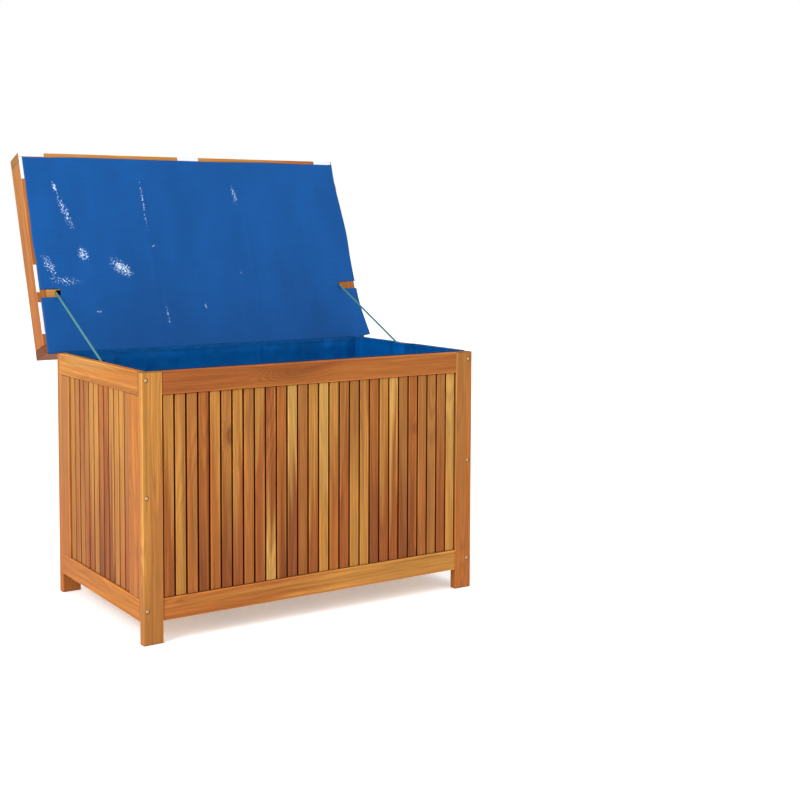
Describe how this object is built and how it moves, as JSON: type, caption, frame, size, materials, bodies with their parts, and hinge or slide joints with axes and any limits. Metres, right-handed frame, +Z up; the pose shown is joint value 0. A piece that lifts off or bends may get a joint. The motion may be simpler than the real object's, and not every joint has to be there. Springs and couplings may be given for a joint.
{
  "type": "deck storage box",
  "caption": "Slatted hardwood garden storage box with a rear-hinged lid held open by two cords, a removable waterproof liner bag and a seat cushion inside.",
  "frame": {"origin": "on the ground, at the middle of the rectangle that the box covers with its lid open", "axes": "+Z up, -Y the front with the slatted long side, +X to the right seen from the front"},
  "size_m": [0.752, 0.6006, 0.8686],
  "materials": {
    "acacia_frame": "oiled hardwood, satin, long grain",
    "acacia_slats": "oiled hardwood slats, each of its own tone",
    "hidden_wood": "raw softwood, unseen from outside",
    "blue_tarp": "woven polyethylene sheet, satin sheen",
    "white_strip": "woven hook-and-loop strip",
    "green_cord": "braided polypropylene cord",
    "zinc_hardware": "bright zinc plate",
    "cream_fabric": "plain polyester cushion cover, matte"
  },
  "bodies": {
    "box": {"post_front_left": "acacia_frame", "post_front_right": "acacia_frame", "post_rear_left": "acacia_frame", "post_rear_right": "acacia_frame", "front_bottom_rail": "acacia_frame", "front_top_rail": "acacia_frame", "rear_bottom_rail": "acacia_frame", "rear_top_rail": "acacia_frame", "left_bottom_rail": "acacia_frame", "left_top_rail": "acacia_frame", "right_bottom_rail": "acacia_frame", "right_top_rail": "acacia_frame", "left_front_stile": "acacia_frame", "left_rear_stile": "acacia_frame", "right_front_stile": "acacia_frame", "right_rear_stile": "acacia_frame", "front_slats": "acacia_slats", "rear_slats": "acacia_slats", "left_slats": "acacia_slats", "right_slats": "acacia_slats", "ledger_front": "hidden_wood", "ledger_rear": "hidden_wood", "floor_board_1": "hidden_wood", "floor_board_2": "hidden_wood", "floor_board_3": "hidden_wood", "floor_board_4": "hidden_wood", "liner_bag": "blue_tarp", "screw_left_bottom": "zinc_hardware", "screw_left_middle": "zinc_hardware", "screw_left_top": "zinc_hardware", "screw_right_bottom": "zinc_hardware", "screw_right_middle": "zinc_hardware", "screw_right_top": "zinc_hardware", "cord_anchor_left": "zinc_hardware", "cord_anchor_right": "zinc_hardware", "cord_left": "green_cord", "cord_right": "green_cord", "hinge_left_body_leaf": "zinc_hardware", "hinge_left_pin": "zinc_hardware", "hinge_right_body_leaf": "zinc_hardware", "hinge_right_pin": "zinc_hardware"},
    "lid": {"lid_front_rail": "acacia_frame", "lid_rear_rail": "acacia_frame", "lid_left_rail": "acacia_frame", "lid_right_rail": "acacia_frame", "lid_cord_batten": "acacia_frame", "lid_front_batten": "acacia_frame", "lid_slats": "acacia_slats", "lid_tarp": "blue_tarp", "strip_front_left": "white_strip", "strip_front_middle": "white_strip", "strip_front_right": "white_strip", "strip_left_front": "white_strip", "strip_left_middle": "white_strip", "strip_left_rear": "white_strip", "strip_right_front": "white_strip", "strip_right_rear": "white_strip", "hinge_left_lid_leaf": "zinc_hardware", "hinge_right_lid_leaf": "zinc_hardware"},
    "cushion": {"cushion": "cream_fabric"}
  },
  "joints": [
    {"name": "lid_hinge", "type": "hinge", "parent": "box", "child": "lid", "pos_m": [0, 0.1032, 0.468], "axis": [1, 0, 0], "range_deg": [0, 109.6], "deforming": ["cord_left", "cord_right"]},
    {"name": "cushion_lift", "type": "slide", "parent": "box", "child": "cushion", "axis": [0, 0, 1], "range_m": [0, 0.36]}
  ]
}
